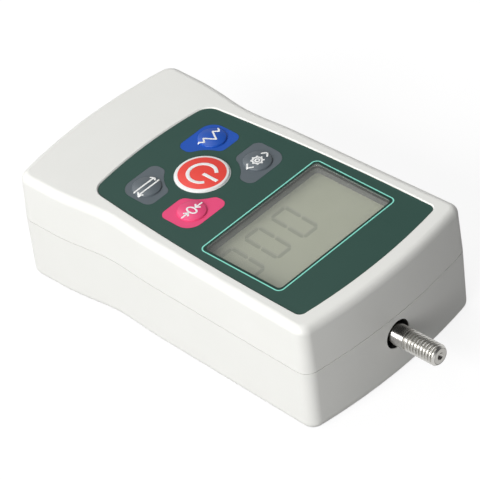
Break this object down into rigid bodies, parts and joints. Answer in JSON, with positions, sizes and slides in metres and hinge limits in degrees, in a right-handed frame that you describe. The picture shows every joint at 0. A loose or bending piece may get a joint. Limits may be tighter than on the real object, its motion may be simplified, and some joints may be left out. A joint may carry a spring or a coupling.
{
  "type": "digital force gauge",
  "caption": "Hand-held digital force gauge: two-part waisted case, display and membrane keys on top, threaded sensing shaft at the front end.",
  "frame": {"origin": "on the flat back face, near its middle; the gauge lies on this face", "axes": "+Y along the sensing shaft, out of the front end; +Z out of the display panel; +X to the right with the shaft pointing up and the panel towards the viewer"},
  "size_m": [0.0628, 0.1253, 0.0347],
  "materials": {
    "case": "fine satin grain",
    "overlay": "printed film, satin",
    "window": "clear, polished",
    "lcd": "grey-green display glass",
    "black": "moulded",
    "rubber": "striped conductive rubber",
    "film": "film",
    "key_red": "printed film, white ring",
    "key_grey": "printed film",
    "key_pink": "printed film",
    "key_blue": "printed film",
    "ivory": "moulded",
    "board": "solder mask",
    "chip": "moulded",
    "alloy": "machined",
    "foil": "foil on amber film",
    "shaft": "ground and polished stainless steel",
    "steel": "machined",
    "sleeve": "shrink sleeve",
    "foam": "double-sided foam tape",
    "wire": "insulated wire",
    "brass": "turned"
  },
  "bodies": {
    "housing": {"upper_case": "case", "lower_case": "case", "panel_overlay": "overlay", "display_window": "window", "display_glass": "lcd", "display_holder": "black", "contact_strips": "rubber", "key_spacer": "film", "key_circuit": "film", "snap_domes": "steel", "tail_socket": "ivory", "main_board": "board", "board_screws": "steel", "processor": "chip", "amplifier": "chip", "crystal": "steel", "capacitors": "chip", "buzzer": "black", "lead_sockets": "ivory", "load_cell": "alloy", "strain_gauges": "foil", "cell_anchor": "alloy", "cell_bolt": "steel", "anchor_screws": "steel", "battery_pack": "sleeve", "battery_tape": "foam", "charging_jack": "black", "battery_leads": "wire", "charging_leads": "wire", "cell_cable": "wire", "case_screws": "steel", "stand_inserts": "brass"},
    "shaft": {"sensing_shaft": "shaft", "shaft_nut": "steel"},
    "power_button": {"power_key": "key_red"},
    "set_button": {"set_key": "key_grey"},
    "zero_button": {"zero_key": "key_pink"},
    "peak_button": {"peak_key": "key_blue"},
    "unit_button": {"unit_key": "key_grey"}
  },
  "joints": [
    {"name": "power_press", "type": "slide", "parent": "housing", "child": "power_button", "axis": [0, 0, -1], "range_m": [0, 0.00035], "stiffness_N_per_m": 1500, "springref_m": -0.0002},
    {"name": "set_press", "type": "slide", "parent": "housing", "child": "set_button", "axis": [0, 0, -1], "range_m": [0, 0.00035], "stiffness_N_per_m": 1500, "springref_m": -0.0002},
    {"name": "zero_press", "type": "slide", "parent": "housing", "child": "zero_button", "axis": [0, 0, -1], "range_m": [0, 0.00035], "stiffness_N_per_m": 1500, "springref_m": -0.0002},
    {"name": "peak_press", "type": "slide", "parent": "housing", "child": "peak_button", "axis": [0, 0, -1], "range_m": [0, 0.00035], "stiffness_N_per_m": 1500, "springref_m": -0.0002},
    {"name": "unit_press", "type": "slide", "parent": "housing", "child": "unit_button", "axis": [0, 0, -1], "range_m": [0, 0.00035], "stiffness_N_per_m": 1500, "springref_m": -0.0002},
    {"name": "shaft_slide", "type": "slide", "parent": "housing", "child": "shaft", "axis": [0, 1, 0], "range_m": [-0.0003, 0.0003], "stiffness_N_per_m": 20000}
  ]
}
